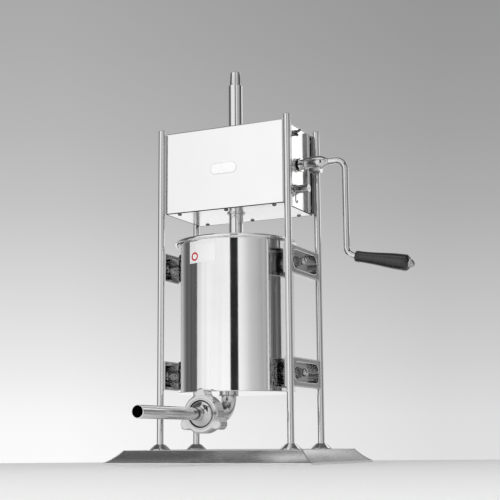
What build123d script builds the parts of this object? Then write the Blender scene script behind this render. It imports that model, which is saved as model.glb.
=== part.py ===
"""Vertical two-speed sausage stuffer, 10 litre class, as separate pieces.

Millimetres, +Z up.  The origin is on the table under the middle of the base.
+X is the crank side, -Y is the front, where the filling nozzle points.
"""
from build123d import *
import math
import os

os.makedirs("parts", exist_ok=True)

# ---------------------------------------------------------------- driving dimensions
FIT = 0.05                      # radial clearance of a running fit
GAP = 0.3                       # air between a moving piece and its neighbour

# Base pan
BASE_H = 25.0
BASE_TOP_X = 178.0              # half sizes of the flat top
BASE_TOP_Y = 125.0
BASE_FLARE = 28.0               # how far the skirt runs out on every side
BASE_SHEET = 2.5
BASE_LIP = 2.0

# Columns
COL_X = 133.0
COL_Y = 71.5
COL_R = 6.5
COL_TOP = 639.0
COL_THREAD = 14.0               # threaded end under the base top

# Gear head
HEAD_X = 123.0
HEAD_Y = 68.5
HEAD_Z0 = 472.5
HEAD_Z1 = 632.5
COVER_SHEET = 1.5
SIDE_SHEET = 3.0
STRIP_W = 34.0
STRIP_T = 5.0

# Gear train: rack and pinion of module 2, spur pair of module 1.5
RACK_MODULE = 2.0
PINION_TEETH = 12
SPUR_MODULE = 1.5
WHEEL_TEETH = 64
DRIVER_TEETH = 18
PRESSURE_ANGLE = math.radians(20)
BACKLASH = 0.22                 # taken off each side of every tooth

# Rack rod
ROD_R = 14.0
ROD_Y = -15.5
ROD_TOP = 754.0
ROD_STEP = 727.5
ROD_LENGTH = 500.0
RACK_PITCH_LINE = 8.5           # from the rod's axis
RACK_ADDENDUM = 1.3
RACK_DEDENDUM = 2.5
RACK_TEETH = 63

# Shafts
SHAFT_R = 8.0
SHAFT_Z = 559.0
SHAFT_Y = ROD_Y + RACK_PITCH_LINE + RACK_MODULE * PINION_TEETH / 2
CENTRES = SPUR_MODULE * (WHEEL_TEETH + DRIVER_TEETH) / 2
CENTRES_TILT = math.radians(28)
DRIVE_Y = SHAFT_Y - CENTRES * math.sin(CENTRES_TILT)
DRIVE_Z = SHAFT_Z - CENTRES * math.cos(CENTRES_TILT)
BUSH_R = 11.0
GEAR_X = 88.0
GEAR_FACE = 12.0

# Barrel
BARREL_R = 110.0
BARREL_WALL = 1.0
BARREL_Z0 = 128.5
BARREL_Z1 = 414.5
RIM_R = 3.5
OUTLET_Y = -50.0
OUTLET_R = 12.0

# Barrel brackets
BRACKET_H = 54.0
BRACKET_Z = (163.5, 369.5)
BRACKET_X0 = 123.0
BRACKET_X1 = 136.0
BRACKET_BAND = 9.0
STUD_R = 5.0

# Outlet, nozzle and ring nut
PIPE_R = 14.0
SPOUT_Z = 88.0
BEND_R = 34.0
SPIGOT_R = 29.0
SPIGOT_Y = -155.0
NUT_Y0 = -135.0
NUT_Y1 = -162.0
NUT_LOBE_R = 45.0
NOZZLE_R = 11.0
NOZZLE_BORE = 10.0
NOZZLE_END = -374.0

# Piston, at its rest height
PISTON_Z = ROD_TOP - ROD_LENGTH
PLATE_R = 105.0
CORE_R = 96.0
SEAL_R = 108.5
VALVE_X = 52.0

# Crank
CRANK_R = 6.0
CRANK_ARM_X = 217.5
CRANK_THROW = 181.0
CRANK_BEND = 20.0
GRIP_TILT = 11.5                # degrees below the shaft's direction
GRIP_START = 18.0               # along the grip axis from the arm's corner
GRIP_LENGTH = 103.0
SPINDLE_R = 4.5


# ---------------------------------------------------------------- helpers
def save(piece, name):
    """Label a finished part and write it as its own STEP file."""
    piece.part.label = name
    export_step(piece.part, f"parts/{name}.step")


def plane_x(x, y=0.0, z=0.0):
    """A sketch plane across X: sketch X is world Y, sketch Y is world Z."""
    return Plane(origin=(x, y, z), x_dir=(0, 1, 0), z_dir=(1, 0, 0))


def plane_y(y, x=0.0, z=0.0):
    """A sketch plane across Y that faces the front: sketch X is world X."""
    return Plane(origin=(x, y, z), x_dir=(1, 0, 0), z_dir=(0, -1, 0))


def involute_tooth(module, teeth, addendum, dedendum):
    """Corner points of one tooth centred on angle zero, as (radius, angle)."""
    pitch_r = module * teeth / 2
    base_r = pitch_r * math.cos(PRESSURE_ANGLE)
    half = math.pi / (2 * teeth) - BACKLASH / pitch_r
    half += math.tan(PRESSURE_ANGLE) - PRESSURE_ANGLE
    root_r = pitch_r - dedendum
    tip_r = pitch_r + addendum
    flank = [(root_r, half)] if root_r < base_r else []
    start = max(base_r, root_r)
    for step in range(5):
        radius = start + (tip_r - start) * step / 4
        turn = math.acos(min(1.0, base_r / radius))
        flank.append((radius, half - (math.tan(turn) - turn)))
    mirrored = [(radius, -angle) for radius, angle in flank]
    return mirrored + flank[::-1]


def gear_outline(module, teeth, addendum, dedendum, first_angle):
    """All corners of a spur gear, with a tooth centred on first_angle."""
    corners = []
    tooth = involute_tooth(module, teeth, addendum, dedendum)
    for index in range(teeth):
        middle = first_angle + 2 * math.pi * index / teeth
        for radius, angle in tooth:
            corners.append((radius * math.cos(middle + angle), radius * math.sin(middle + angle)))
    return corners


def polygon_face(points):
    """A closed polygon as a face of the current sketch."""
    with BuildLine() as outline:
        Polyline(*points, close=True)
    make_face(outline.edges())


# ---------------------------------------------------------------- base pan
def skirt_section(half_top, inset):
    """Half-width profile of the pan: flat top, slightly hollow skirt, upright lip."""
    top = half_top - inset
    foot = half_top + BASE_FLARE - inset
    roof = BASE_H - inset
    floor = -1.0 if inset else 0.0
    waist = (top + 0.44 * BASE_FLARE, 0.50 * roof)
    with BuildLine() as outline:
        Line((foot, floor), (foot, BASE_LIP))
        ThreePointArc((foot, BASE_LIP), waist, (top, roof))
        Line((top, roof), (-top, roof))
        ThreePointArc((-top, roof), (-waist[0], waist[1]), (-foot, BASE_LIP))
        Polyline((-foot, BASE_LIP), (-foot, floor), (foot, floor))
    make_face(outline.edges())


with BuildPart() as base_void:
    with BuildSketch(Plane.XZ):
        skirt_section(BASE_TOP_X, BASE_SHEET)
    extrude(amount=BASE_TOP_Y + BASE_FLARE, both=True)
    with BuildSketch(Plane.YZ):
        skirt_section(BASE_TOP_Y, BASE_SHEET)
    extrude(amount=BASE_TOP_X + BASE_FLARE, both=True, mode=Mode.INTERSECT)

with BuildPart() as base_pan:
    with BuildSketch(Plane.XZ):
        skirt_section(BASE_TOP_X, 0.0)
    extrude(amount=BASE_TOP_Y + BASE_FLARE, both=True)
    with BuildSketch(Plane.YZ):
        skirt_section(BASE_TOP_Y, 0.0)
    extrude(amount=BASE_TOP_X + BASE_FLARE, both=True, mode=Mode.INTERSECT)
    add(base_void.part, mode=Mode.SUBTRACT)
    with GridLocations(2 * COL_X, 2 * COL_Y, 2, 2):
        Cylinder(COL_R, 4 * BASE_H, mode=Mode.SUBTRACT)
save(base_pan, "base_pan")

# ---------------------------------------------------------------- columns
COLUMNS = {
    "front_left": (-COL_X, -COL_Y),
    "front_right": (COL_X, -COL_Y),
    "rear_left": (-COL_X, COL_Y),
    "rear_right": (COL_X, COL_Y),
}
for place, (x, y) in COLUMNS.items():
    with BuildPart() as column:
        with BuildSketch(Plane((x, y, BASE_H - COL_THREAD))):
            Circle(COL_R)
        extrude(amount=COL_TOP - BASE_H + COL_THREAD)
        chamfer(column.edges().filter_by(GeomType.CIRCLE), length=0.8)
    save(column, f"column_{place}")

FOOT_R = 19.0
FOOT_H = 10.0
with BuildPart() as column_feet:
    with BuildSketch(Plane.XZ):
        with BuildLine():
            Polyline((COL_R, 0), (FOOT_R, 0), (FOOT_R, 2.0), (COL_R + 3.5, FOOT_H), (COL_R, FOOT_H), close=True)
        make_face()
    revolve(axis=Axis.Z)
foot = column_feet.part
with BuildPart() as column_feet:
    with GridLocations(2 * COL_X, 2 * COL_Y, 2, 2):
        add(foot.moved(Location((0, 0, BASE_H))))
save(column_feet, "column_feet")

NUT_AF = 18.0
NUT_H = 8.0
with BuildPart() as column_nuts:
    with BuildSketch(Plane.XY.offset(BASE_H - BASE_SHEET - NUT_H)):
        with GridLocations(2 * COL_X, 2 * COL_Y, 2, 2):
            RegularPolygon(NUT_AF / 2, 6, major_radius=False)
            Circle(COL_R, mode=Mode.SUBTRACT)
    extrude(amount=NUT_H)
save(column_nuts, "column_nuts")

# ---------------------------------------------------------------- gear head
SCREW_R = 2.5
FLOOR_SCREWS = (100.0, 116.0, 3, 2)   # spacings and counts across X and Y
STRIP_RECESS = 2.5              # depth of the groove that its screw heads sit in
STRIP_SCREW_Y = 55.0
STRIP_SCREW_Z = (HEAD_Z0 + 13.0, HEAD_Z1 - 16.0)
WING_Y = -18.0
WING_Z = 616.0
WING_SCREW_R = 3.0

with BuildPart() as head_cover:
    with BuildSketch(Plane.YZ):
        with Locations((0, HEAD_Z1 - (HEAD_Z1 - HEAD_Z0) / 2)):
            RectangleRounded(2 * HEAD_Y, HEAD_Z1 - HEAD_Z0, 2.5)
        with Locations((0, HEAD_Z0 - COVER_SHEET + (HEAD_Z1 - HEAD_Z0) / 2)):
            Rectangle(2 * (HEAD_Y - COVER_SHEET), HEAD_Z1 - HEAD_Z0, mode=Mode.SUBTRACT)
    extrude(amount=HEAD_X, both=True)
    with BuildSketch(Plane.XY.offset(HEAD_Z1 + 1)):
        with Locations((0, ROD_Y)):
            Circle(ROD_R + 3.0)
    extrude(amount=-2 * COVER_SHEET - 1, mode=Mode.SUBTRACT)
save(head_cover, "head_cover")

with BuildPart() as head_bottom_plate:
    with BuildSketch(Plane.XY.offset(HEAD_Z0)):
        Rectangle(2 * (HEAD_X - SIDE_SHEET), 2 * (HEAD_Y - COVER_SHEET))
        with Locations((0, ROD_Y)):
            Circle(ROD_R + 4.0, mode=Mode.SUBTRACT)
        with GridLocations(*FLOOR_SCREWS):
            Circle(SCREW_R, mode=Mode.SUBTRACT)
    extrude(amount=SIDE_SHEET)
save(head_bottom_plate, "head_bottom_plate")

for side, name in ((-1, "left"), (1, "right")):
    with BuildPart() as side_plate:
        with BuildSketch(plane_x(side * HEAD_X)):
            with Locations((0, (HEAD_Z0 + HEAD_Z1 - COVER_SHEET) / 2)):
                Rectangle(2 * (HEAD_Y - COVER_SHEET), HEAD_Z1 - HEAD_Z0 - COVER_SHEET)
            with Locations((SHAFT_Y, SHAFT_Z)):
                Circle(BUSH_R, mode=Mode.SUBTRACT)
            screw_spots = [(y, z) for y in (-STRIP_SCREW_Y, STRIP_SCREW_Y) for z in STRIP_SCREW_Z]
            with Locations(*screw_spots):
                Circle(SCREW_R, mode=Mode.SUBTRACT)
            if side > 0:
                with Locations((DRIVE_Y, DRIVE_Z)):
                    Circle(BUSH_R, mode=Mode.SUBTRACT)
                with Locations((WING_Y, WING_Z)):
                    Circle(WING_SCREW_R + FIT, mode=Mode.SUBTRACT)
        extrude(amount=-side * SIDE_SHEET)
    save(side_plate, f"head_side_plate_{name}")

# Saddle strips: each carries one column and is screwed to a side plate.
with BuildPart() as head_strips:
    for side_x in (-1, 1):
        for side_y in (-1, 1):
            with BuildSketch(Plane.XY.offset(HEAD_Z0 + 1)):
                with Locations((side_x * (HEAD_X + STRIP_T / 2), side_y * (COL_Y - STRIP_W / 2))):
                    Rectangle(STRIP_T, STRIP_W)
                with Locations((side_x * COL_X, side_y * COL_Y)):
                    Circle(COL_R, mode=Mode.SUBTRACT)
                with Locations((side_x * (HEAD_X + STRIP_T - STRIP_RECESS / 2), side_y * STRIP_SCREW_Y)):
                    Rectangle(STRIP_RECESS, 9.0, mode=Mode.SUBTRACT)
            extrude(amount=HEAD_Z1 - HEAD_Z0 - 4)
            with BuildSketch(plane_x(side_x * HEAD_X)):
                with Locations(*[(side_y * STRIP_SCREW_Y, z) for z in STRIP_SCREW_Z]):
                    Circle(SCREW_R)
            extrude(amount=side_x * 2 * STRIP_T, mode=Mode.SUBTRACT)
save(head_strips, "head_strips")

with BuildPart() as button_screw:
    with BuildSketch(Plane.XZ):
        with BuildLine():
            Polyline((0, -5.5), (SCREW_R, -5.5), (SCREW_R, 0), (4.2, 0), (4.2, 0.8))
            ThreePointArc((4.2, 0.8), (3.0, 2.1), (0, 2.6))
            Line((0, 2.6), (0, -5.5))
        make_face()
    revolve(axis=Axis.Z)
    with BuildSketch(Plane.XY.offset(2.7)):
        RegularPolygon(1.5, 6)
    extrude(amount=-1.6, mode=Mode.SUBTRACT)

with BuildPart() as head_screws:
    for side in (-1, 1):
        for y, z in screw_spots:
            seat = Location((side * (HEAD_X + STRIP_T - STRIP_RECESS), y, z), (0, side * 90, 0))
            add(button_screw.part.moved(seat))
    with GridLocations(*FLOOR_SCREWS):
        add(button_screw.part.moved(Location((0, 0, HEAD_Z0), (180, 0, 0))))
save(head_screws, "head_screws")

# The drive shaft is a stub beside the rack rod, so it needs a bearing plate inside the head.
INNER_X = 63.0
INNER_T = 5.0
INNER_W = 72.0
INNER_FOOT = (18.0, 4.0)        # width and thickness of its foot flange
INNER_TOP = SHAFT_Z + 24.0
INNER_FLOOR = HEAD_Z0 + SIDE_SHEET
SHAFT_LINES = {"main": (SHAFT_Y, SHAFT_Z), "drive": (DRIVE_Y, DRIVE_Z)}
with BuildPart() as inner_bearing_plate:
    with BuildSketch(plane_x(INNER_X)):
        with Locations(((SHAFT_Y + DRIVE_Y) / 2, (INNER_TOP + INNER_FLOOR) / 2)):
            Rectangle(INNER_W, INNER_TOP - INNER_FLOOR)
        with Locations(*SHAFT_LINES.values()):
            Circle(BUSH_R, mode=Mode.SUBTRACT)
    extrude(amount=-INNER_T)
    with BuildSketch(Plane.XY.offset(INNER_FLOOR)):
        with Locations((INNER_X - INNER_FOOT[0] / 2, (SHAFT_Y + DRIVE_Y) / 2)):
            Rectangle(INNER_FOOT[0], INNER_W)
    extrude(amount=INNER_FOOT[1])
save(inner_bearing_plate, "inner_bearing_plate")

# Flanged bushes: face of the plate, plate thickness, and the way the flange looks
BUSH_FLANGE = 2.0
BUSH_TAIL = 6.0
BUSH_LENGTH = SIDE_SHEET + BUSH_FLANGE + BUSH_TAIL
BUSH_SITES = {
    "main": [(-HEAD_X, SIDE_SHEET, 1), (HEAD_X, SIDE_SHEET, -1), (INNER_X, INNER_T, -1)],
    "drive": [(HEAD_X, SIDE_SHEET, -1), (INNER_X, INNER_T, -1)],
}
for line, (y, z) in SHAFT_LINES.items():
    with BuildPart() as bushes:
        for x, plate, inward in BUSH_SITES[line]:
            with BuildSketch(plane_x(x, y, z)):
                Circle(BUSH_R)
            extrude(amount=inward * (plate + BUSH_FLANGE + BUSH_TAIL))
            with BuildSketch(plane_x(x + inward * plate, y, z)):
                Circle(BUSH_R + 3)
            extrude(amount=inward * BUSH_FLANGE)
        with BuildSketch(plane_x(-HEAD_X - 1, y, z)):
            Circle(SHAFT_R + FIT)
        extrude(amount=2 * HEAD_X + 2, mode=Mode.SUBTRACT)
    save(bushes, f"{line}_shaft_bushes")

GUIDE_LENGTH = 30.0
with BuildPart() as rod_guide:
    with BuildSketch(Plane.XY.offset(HEAD_Z0)):
        with Locations((0, ROD_Y)):
            Circle(ROD_R + 4.0)
            Circle(ROD_R + FIT, mode=Mode.SUBTRACT)
    extrude(amount=GUIDE_LENGTH)
    with BuildSketch(Plane.XY.offset(HEAD_Z0 + SIDE_SHEET)):
        with Locations((0, ROD_Y)):
            Circle(ROD_R + 8.0)
            Circle(ROD_R + 3.0, mode=Mode.SUBTRACT)
    extrude(amount=4)
save(rod_guide, "rod_guide")

with BuildPart() as rod_guide_clip:
    with BuildSketch(Plane.XY.offset(HEAD_Z0 - 2.5)):
        with Locations((0, ROD_Y)):
            Circle(ROD_R + 3.5)
            Circle(ROD_R + GAP, mode=Mode.SUBTRACT)
    extrude(amount=2.5)
save(rod_guide_clip, "rod_guide_clip")

with BuildPart() as rod_top_bush:
    with BuildSketch(Plane.XY.offset(HEAD_Z1 - COVER_SHEET - 3)):
        with Locations((0, ROD_Y)):
            Circle(ROD_R + 3.0)
            Circle(ROD_R + GAP, mode=Mode.SUBTRACT)
    extrude(amount=COVER_SHEET + 4.5)
    with BuildSketch(Plane.XY.offset(HEAD_Z1 - COVER_SHEET)):
        with Locations((0, ROD_Y)):
            Circle(ROD_R + 6.0)
            Circle(ROD_R + 2.0, mode=Mode.SUBTRACT)
    extrude(amount=-2.5)
save(rod_top_bush, "rod_top_bush")

PLATE_SIZE = (55.0, 23.0)
PLATE_MIDDLE_Z = 551.5
with BuildPart() as name_plate:
    with BuildSketch(plane_y(-HEAD_Y, 0, PLATE_MIDDLE_Z)):
        RectangleRounded(*PLATE_SIZE, 11.0)
    extrude(amount=1.0)
    fillet(name_plate.faces().sort_by(Axis.Y)[0].edges(), radius=0.5)
save(name_plate, "name_plate")

with BuildPart() as cover_wing_screw:
    with BuildSketch(plane_x(HEAD_X - 9, WING_Y, WING_Z)):
        Circle(WING_SCREW_R)
    extrude(amount=9 + GAP + 5)
    with BuildSketch(plane_x(HEAD_X + GAP, WING_Y, WING_Z)):
        Circle(5.5)
    extrude(amount=6)
    with BuildSketch(Plane(origin=(HEAD_X, WING_Y, WING_Z), x_dir=(1, 0, 0), z_dir=(0, -0.70711, 0.70711))):
        for side in (-1, 1):
            with BuildLine():
                Polyline((3.0, 0), (3.0, side * 5), (8.5, side * 10.5))
                ThreePointArc((8.5, side * 10.5), (12.5, side * 10.5), (12.5, side * 7.0))
                Polyline((12.5, side * 7.0), (6.3, 0), (3.0, 0))
            make_face()
    extrude(amount=1.3, both=True)
save(cover_wing_screw, "cover_wing_screw")

# ---------------------------------------------------------------- shafts and gears
SHAFT_LEFT = -HEAD_X + 1.0
CRANK_END = 160.0               # end of the shaft inside the crank socket
FLAT = 6.6                      # from the axis to the flat that a crank is clamped on
COLLAR_R = 9.5
COLLAR_RIDGE_R = 13.5
COLLAR_LENGTH = 15.5

with BuildPart() as main_shaft:
    with BuildSketch(plane_x(SHAFT_LEFT, SHAFT_Y, SHAFT_Z)):
        Circle(SHAFT_R)
    extrude(amount=CRANK_END - SHAFT_LEFT)
    with BuildSketch(plane_x(139.0, SHAFT_Y, SHAFT_Z)):
        with Locations((0, -FLAT - SHAFT_R)):
            Rectangle(4 * SHAFT_R, 2 * SHAFT_R)
    extrude(amount=CRANK_END, mode=Mode.SUBTRACT)
save(main_shaft, "main_shaft")

with BuildPart() as shaft_collar:
    with BuildSketch(plane_x(HEAD_X + GAP, SHAFT_Y, SHAFT_Z)):
        Circle(COLLAR_R)
        Circle(SHAFT_R, mode=Mode.SUBTRACT)
    extrude(amount=COLLAR_LENGTH - GAP)
    with BuildSketch(plane_x(HEAD_X + 5.0, SHAFT_Y, SHAFT_Z)):
        Circle(COLLAR_RIDGE_R)
        Circle(SHAFT_R, mode=Mode.SUBTRACT)
    extrude(amount=2.4)
save(shaft_collar, "shaft_collar")

PINION_FACE = 26.0
with BuildPart() as rack_pinion:
    with BuildSketch(plane_x(-PINION_FACE / 2, SHAFT_Y, SHAFT_Z)):
        polygon_face(gear_outline(RACK_MODULE, PINION_TEETH, RACK_MODULE, 1.9, math.pi))
        Circle(SHAFT_R, mode=Mode.SUBTRACT)
    extrude(amount=PINION_FACE)
save(rack_pinion, "rack_pinion")

# The wheel has a tooth on the line of centres, the driver a gap.
GEAR_WEB = (15.0, 39.0, 3.0)    # inner and outer radius of the web's recess, and its depth
GEAR_HOLES = (27.0, 6.5)        # pitch radius and radius of the five lightening holes
TO_DRIVER = math.atan2(-math.cos(CENTRES_TILT), -math.sin(CENTRES_TILT))
with BuildPart() as main_gear:
    with BuildSketch(plane_x(GEAR_X, SHAFT_Y, SHAFT_Z)):
        polygon_face(gear_outline(SPUR_MODULE, WHEEL_TEETH, 1.5, 1.9, TO_DRIVER))
    extrude(amount=GEAR_FACE)
    for x, depth in ((GEAR_X, GEAR_WEB[2]), (GEAR_X + GEAR_FACE, -GEAR_WEB[2])):
        with BuildSketch(plane_x(x, SHAFT_Y, SHAFT_Z)):
            Circle(GEAR_WEB[1])
            Circle(GEAR_WEB[0], mode=Mode.SUBTRACT)
        extrude(amount=depth, mode=Mode.SUBTRACT)
    with BuildSketch(plane_x(GEAR_X, SHAFT_Y, SHAFT_Z)):
        Circle(SHAFT_R)
        with PolarLocations(GEAR_HOLES[0], 5):
            Circle(GEAR_HOLES[1])
    extrude(amount=GEAR_FACE, mode=Mode.SUBTRACT)
save(main_gear, "main_gear")

with BuildPart() as drive_gear:
    with BuildSketch(plane_x(GEAR_X - 1, DRIVE_Y, DRIVE_Z)):
        first_gap = TO_DRIVER + math.pi + math.pi / DRIVER_TEETH
        polygon_face(gear_outline(SPUR_MODULE, DRIVER_TEETH, 1.5, 1.9, first_gap))
        Circle(SHAFT_R, mode=Mode.SUBTRACT)
    extrude(amount=GEAR_FACE + 2)
save(drive_gear, "drive_gear")

DRIVE_LEFT = INNER_X - INNER_T - BUSH_FLANGE - BUSH_TAIL - 5
DRIVE_END = 156.0
DRIVE_COLLAR = 10.0             # length of the collar between the head and the shaft's free end
FREE_END_X = 134.0              # the crank can be moved on to the shaft from here outwards
with BuildPart() as drive_shaft:
    with BuildSketch(plane_x(DRIVE_LEFT, DRIVE_Y, DRIVE_Z)):
        Circle(SHAFT_R)
    extrude(amount=DRIVE_END - DRIVE_LEFT)
    with BuildSketch(plane_x(FREE_END_X, DRIVE_Y, DRIVE_Z)):
        with Locations((0, -FLAT - SHAFT_R)):
            Rectangle(4 * SHAFT_R, 2 * SHAFT_R)
    extrude(amount=30, mode=Mode.SUBTRACT)
    # Relief groove between the collar and the free end
    with BuildSketch(plane_x(HEAD_X + GAP + DRIVE_COLLAR, DRIVE_Y, DRIVE_Z)):
        Circle(SHAFT_R + 1)
        Circle(SHAFT_R - 0.6, mode=Mode.SUBTRACT)
    extrude(amount=FREE_END_X - HEAD_X - GAP - DRIVE_COLLAR, mode=Mode.SUBTRACT)
    with BuildSketch(plane_x(DRIVE_END, DRIVE_Y, DRIVE_Z)):
        Circle(1.6)
    extrude(amount=-6, mode=Mode.SUBTRACT)
save(drive_shaft, "drive_shaft")

with BuildPart() as drive_collar:
    with BuildSketch(plane_x(HEAD_X + GAP, DRIVE_Y, DRIVE_Z)):
        Circle(9.8)
        Circle(SHAFT_R, mode=Mode.SUBTRACT)
    extrude(amount=DRIVE_COLLAR)
    with BuildSketch(plane_x(HEAD_X + 1.5, DRIVE_Y, DRIVE_Z)):
        Circle(12.0)
        Circle(SHAFT_R, mode=Mode.SUBTRACT)
    extrude(amount=2.4)
save(drive_collar, "drive_collar")

CLIP_R = 1.0
with BuildPart() as drive_clip:
    clip_x = HEAD_X + 6.7       # clear of the strips and their screw heads
    with BuildLine() as clip_path:
        FilletPolyline(
            (clip_x, DRIVE_Y - 2, DRIVE_Z - 9.65),
            (clip_x, DRIVE_Y - 2, DRIVE_Z - 23.0),
            (clip_x, DRIVE_Y + 6, DRIVE_Z - 25.0),
            (clip_x, DRIVE_Y + 6, DRIVE_Z - 19.0),
            radius=2.5,
        )
    with BuildSketch(Plane(origin=clip_path.line @ 0, z_dir=clip_path.line % 0)):
        Circle(CLIP_R)
    sweep()
save(drive_clip, "drive_clip")

# Retaining rings at the far ends of both shafts
CIRCLIP_T = 1.5
CIRCLIP_X = {"main": -HEAD_X + BUSH_LENGTH + GAP, "drive": DRIVE_LEFT + 5 - GAP - CIRCLIP_T}
for line, (y, z) in SHAFT_LINES.items():
    with BuildPart() as circlip:
        with BuildSketch(plane_x(CIRCLIP_X[line], y, z)):
            Circle(SHAFT_R + 2.5)
            Circle(SHAFT_R, mode=Mode.SUBTRACT)
        extrude(amount=CIRCLIP_T)
    save(circlip, f"{line}_shaft_circlip")

# ---------------------------------------------------------------- crank
crank_corner = Vector(CRANK_ARM_X, SHAFT_Y, SHAFT_Z - CRANK_THROW)
tilt = math.radians(GRIP_TILT)
grip_axis = Vector(math.cos(tilt), 0, -math.sin(tilt))
grip_root = crank_corner + grip_axis * GRIP_START
grip_end = grip_root + grip_axis * GRIP_LENGTH
SOCKET_X0 = HEAD_X + COLLAR_LENGTH

with BuildPart() as crank_socket:
    with BuildSketch(Plane.XZ):
        with BuildLine():
            Polyline((0, 0), (11.5, 0), (12.5, 6), (13.0, 24))
            Spline((13.0, 24), (12.2, 32), (8.6, 40), (6.6, 46), tangents=((0, 1), (0, 1)))
            Polyline((6.6, 46), (0, 46), (0, 0))
        make_face()
    revolve(axis=Axis.Z)
    Cylinder(SHAFT_R, CRANK_END - SOCKET_X0, align=(Align.CENTER, Align.CENTER, Align.MIN), mode=Mode.SUBTRACT)
    with BuildSketch(Plane.XY.offset(CRANK_END - SOCKET_X0)):
        Circle(CRANK_R)
    extrude(amount=30, mode=Mode.SUBTRACT)
    # Clamp boss under the socket, bored across for the clamp screw
    with BuildSketch(Plane.XY.offset(9.0)):
        with Locations((13.5, 0)):
            RectangleRounded(11, 15, 3)
    extrude(amount=22)
    with BuildSketch(Plane.XY):
        Circle(SHAFT_R)
    extrude(amount=CRANK_END - SOCKET_X0, mode=Mode.SUBTRACT)
    with BuildSketch(Plane.XY.offset(20.0).rotated((0, 90, 0))):
        Circle(3.0 + FIT)
    extrude(amount=40, mode=Mode.SUBTRACT)
socket = crank_socket.part
with BuildPart() as crank_socket:
    add(socket.moved(Location((SOCKET_X0, SHAFT_Y, SHAFT_Z), (0, 90, 0))))
save(crank_socket, "crank_socket")

with BuildPart() as crank_arm:
    with BuildLine() as arm_path:
        FilletPolyline(
            (CRANK_END, SHAFT_Y, SHAFT_Z),
            (CRANK_ARM_X, SHAFT_Y, SHAFT_Z),
            crank_corner,
            crank_corner + grip_axis * GRIP_START,
            radius=CRANK_BEND - 1,
        )
    with BuildSketch(Plane(origin=arm_path.line @ 0, z_dir=(1, 0, 0))):
        Circle(CRANK_R)
    sweep()
save(crank_arm, "crank_arm")

GRIP_BORE = SPINDLE_R + 0.1
GRIP_R0 = 10.2
GRIP_R1 = 15.0
grip_line = Plane(origin=grip_root, x_dir=(0, 1, 0), z_dir=grip_axis)
with BuildPart() as grip_spindle:
    with BuildSketch(grip_line):
        Circle(SPINDLE_R)
    extrude(amount=GRIP_LENGTH + 6)
save(grip_spindle, "grip_spindle")

with BuildPart() as grip:
    with BuildSketch(Plane.XZ):
        with BuildLine():
            Line((GRIP_BORE, GAP), (GRIP_R0 - 1.0, GAP))
            ThreePointArc((GRIP_R0 - 1.0, GAP), (GRIP_R0 - 0.2, 0.7), (GRIP_R0, 1.8))
            Spline(
                (GRIP_R0, 1.8),
                (GRIP_R0 + 1.2, 35),
                (GRIP_R1 - 0.6, 72),
                (GRIP_R1, GRIP_LENGTH - 8),
                tangents=((0, 1), (0, 1)),
            )
            ThreePointArc((GRIP_R1, GRIP_LENGTH - 8), (GRIP_R1 - 1.2, GRIP_LENGTH - 2.2), (GRIP_R1 - 4.0, GRIP_LENGTH))
            Polyline((GRIP_R1 - 4.0, GRIP_LENGTH), (GRIP_BORE, GRIP_LENGTH), (GRIP_BORE, GAP))
        make_face()
    revolve(axis=Axis.Z)
grip_body = grip.part
with BuildPart() as grip:
    add(grip_body.moved(grip_line.location))
save(grip, "grip")

ACORN_AF = 15.0
ACORN_R = 7.2
ACORN_FLAT = 3.5                # height of its hexagon
with BuildPart() as acorn:
    with BuildSketch(Plane.XZ):
        with BuildLine():
            Polyline((SPINDLE_R, 0), (8.5, 0), (8.5, ACORN_FLAT), (ACORN_R, ACORN_FLAT))
            CenterArc((0, ACORN_FLAT), ACORN_R, 0, 90)
            Polyline((0, ACORN_FLAT + ACORN_R), (0, 6 - GAP), (SPINDLE_R, 6 - GAP), (SPINDLE_R, 0))
        make_face()
    revolve(axis=Axis.Z)
    with BuildSketch(Plane.XY):
        RegularPolygon(ACORN_AF / 2, 6, major_radius=False)
    extrude(amount=12, mode=Mode.INTERSECT)
with BuildPart() as grip_nut:
    add(acorn.part.moved(grip_line.location * Location((0, 0, GRIP_LENGTH + GAP))))
save(grip_nut, "grip_nut")

# Hex screw that clamps the socket on the shaft
CLAMP_X = SOCKET_X0 + 20.0
with BuildPart() as clamp_screw:
    with BuildSketch(Plane((CLAMP_X, SHAFT_Y, SHAFT_Z - FLAT - GAP))):
        Circle(3.0)
    extrude(amount=-13.0)
    with BuildSketch(Plane((CLAMP_X, SHAFT_Y, SHAFT_Z - 19.0 - GAP))):
        RegularPolygon(5.0, 6, major_radius=False)
    extrude(amount=-4.5)
    chamfer(clamp_screw.faces().sort_by(Axis.Z)[0].edges(), length=0.6)
save(clamp_screw, "clamp_screw")

# ---------------------------------------------------------------- barrel
INNER_R = BARREL_R - BARREL_WALL
BARREL_FLOOR = 1.5
with BuildPart() as barrel:
    with BuildSketch(Plane.XZ):
        with BuildLine():
            Polyline(
                (INNER_R, BARREL_Z0),
                (BARREL_R, BARREL_Z0),
                (BARREL_R, BARREL_Z1),
                (INNER_R, BARREL_Z1),
                close=True,
            )
        make_face()
    revolve(axis=Axis.Z)
    with BuildSketch(Plane.XZ):
        with Locations((BARREL_R + RIM_R - 0.5, BARREL_Z1 - RIM_R)):
            Circle(RIM_R)
            Circle(RIM_R - 1.0, mode=Mode.SUBTRACT)
    revolve(axis=Axis.Z)
barrel_body = barrel.part
with BuildPart() as barrel:
    add(barrel_body.moved(Location((0, ROD_Y, 0))))
save(barrel, "barrel")

# The floor is welded in, so it is a disc inside the wall.
with BuildPart() as barrel_floor:
    with BuildSketch(Plane((0, ROD_Y, BARREL_Z0))):
        Circle(INNER_R)
        with Locations((0, OUTLET_Y - ROD_Y)):
            Circle(OUTLET_R, mode=Mode.SUBTRACT)
    extrude(amount=BARREL_FLOOR)
save(barrel_floor, "barrel_floor")

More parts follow.
